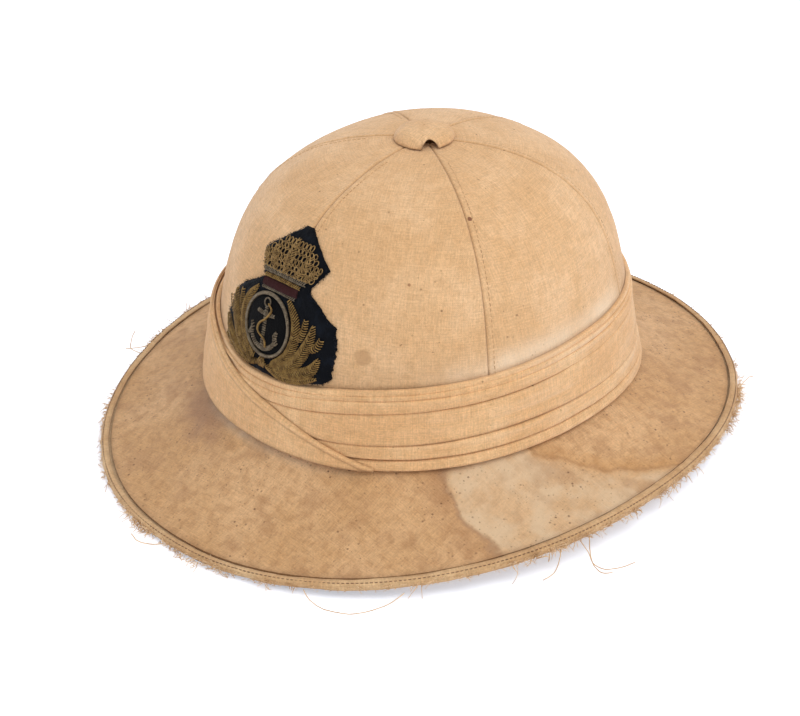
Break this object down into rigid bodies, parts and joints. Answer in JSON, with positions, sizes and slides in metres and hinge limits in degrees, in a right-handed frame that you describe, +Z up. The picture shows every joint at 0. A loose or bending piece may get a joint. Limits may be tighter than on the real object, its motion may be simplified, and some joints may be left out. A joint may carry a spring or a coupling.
{
  "type": "pith helmet",
  "caption": "Six-panel cork pith helmet covered in sun-faded cotton, with a folded puggaree, a vent button, a frayed brim binding and an embroidered anchor badge.",
  "frame": {"origin": "centre of the outline, on the plane that the helmet rests on", "axes": "+Z up, the front of the helmet looks along -Y, the wearer's left is +X"},
  "size_m": [0.295, 0.34, 0.151],
  "materials": {
    "cork": "pressed cork faced with plain cotton",
    "crown_cloth": "sun-faded khaki cotton drill",
    "brim_cloth": "soiled, water-marked khaki cotton drill",
    "puggaree_cloth": "folded cotton, faded",
    "binding_cloth": "rolled cotton binding, frayed",
    "edge_leather": "thin dark brown leather, worn",
    "felt": "navy wool felt with ragged edges",
    "gold_bullion": "tarnished gold bullion wire embroidery",
    "red_velvet": "worn dark red velvet",
    "black_velvet": "black velvet",
    "silver_wire": "tarnished silver wire"
  },
  "bodies": {
    "root": {"cork_crown": "cork", "cork_brim": "cork", "crown_panel_1": "crown_cloth", "crown_panel_2": "crown_cloth", "crown_panel_3": "crown_cloth", "crown_panel_4": "crown_cloth", "crown_panel_5": "crown_cloth", "crown_panel_6": "crown_cloth", "brim_cover": "brim_cloth", "edge_leather": "edge_leather", "brim_binding": "binding_cloth", "puggaree_fold_1": "puggaree_cloth", "puggaree_fold_2": "puggaree_cloth", "puggaree_band": "puggaree_cloth", "puggaree_pleat_1": "puggaree_cloth", "puggaree_pleat_2": "puggaree_cloth", "puggaree_pleat_3": "puggaree_cloth", "puggaree_cross_wrap": "puggaree_cloth", "vent_button": "crown_cloth", "badge_backing": "felt", "badge_crest": "gold_bullion", "badge_crest_band": "red_velvet", "badge_wreath_left": "gold_bullion", "badge_wreath_right": "gold_bullion", "badge_oval": "black_velvet", "badge_oval_wire": "silver_wire", "badge_anchor": "silver_wire"}
  },
  "joints": []
}
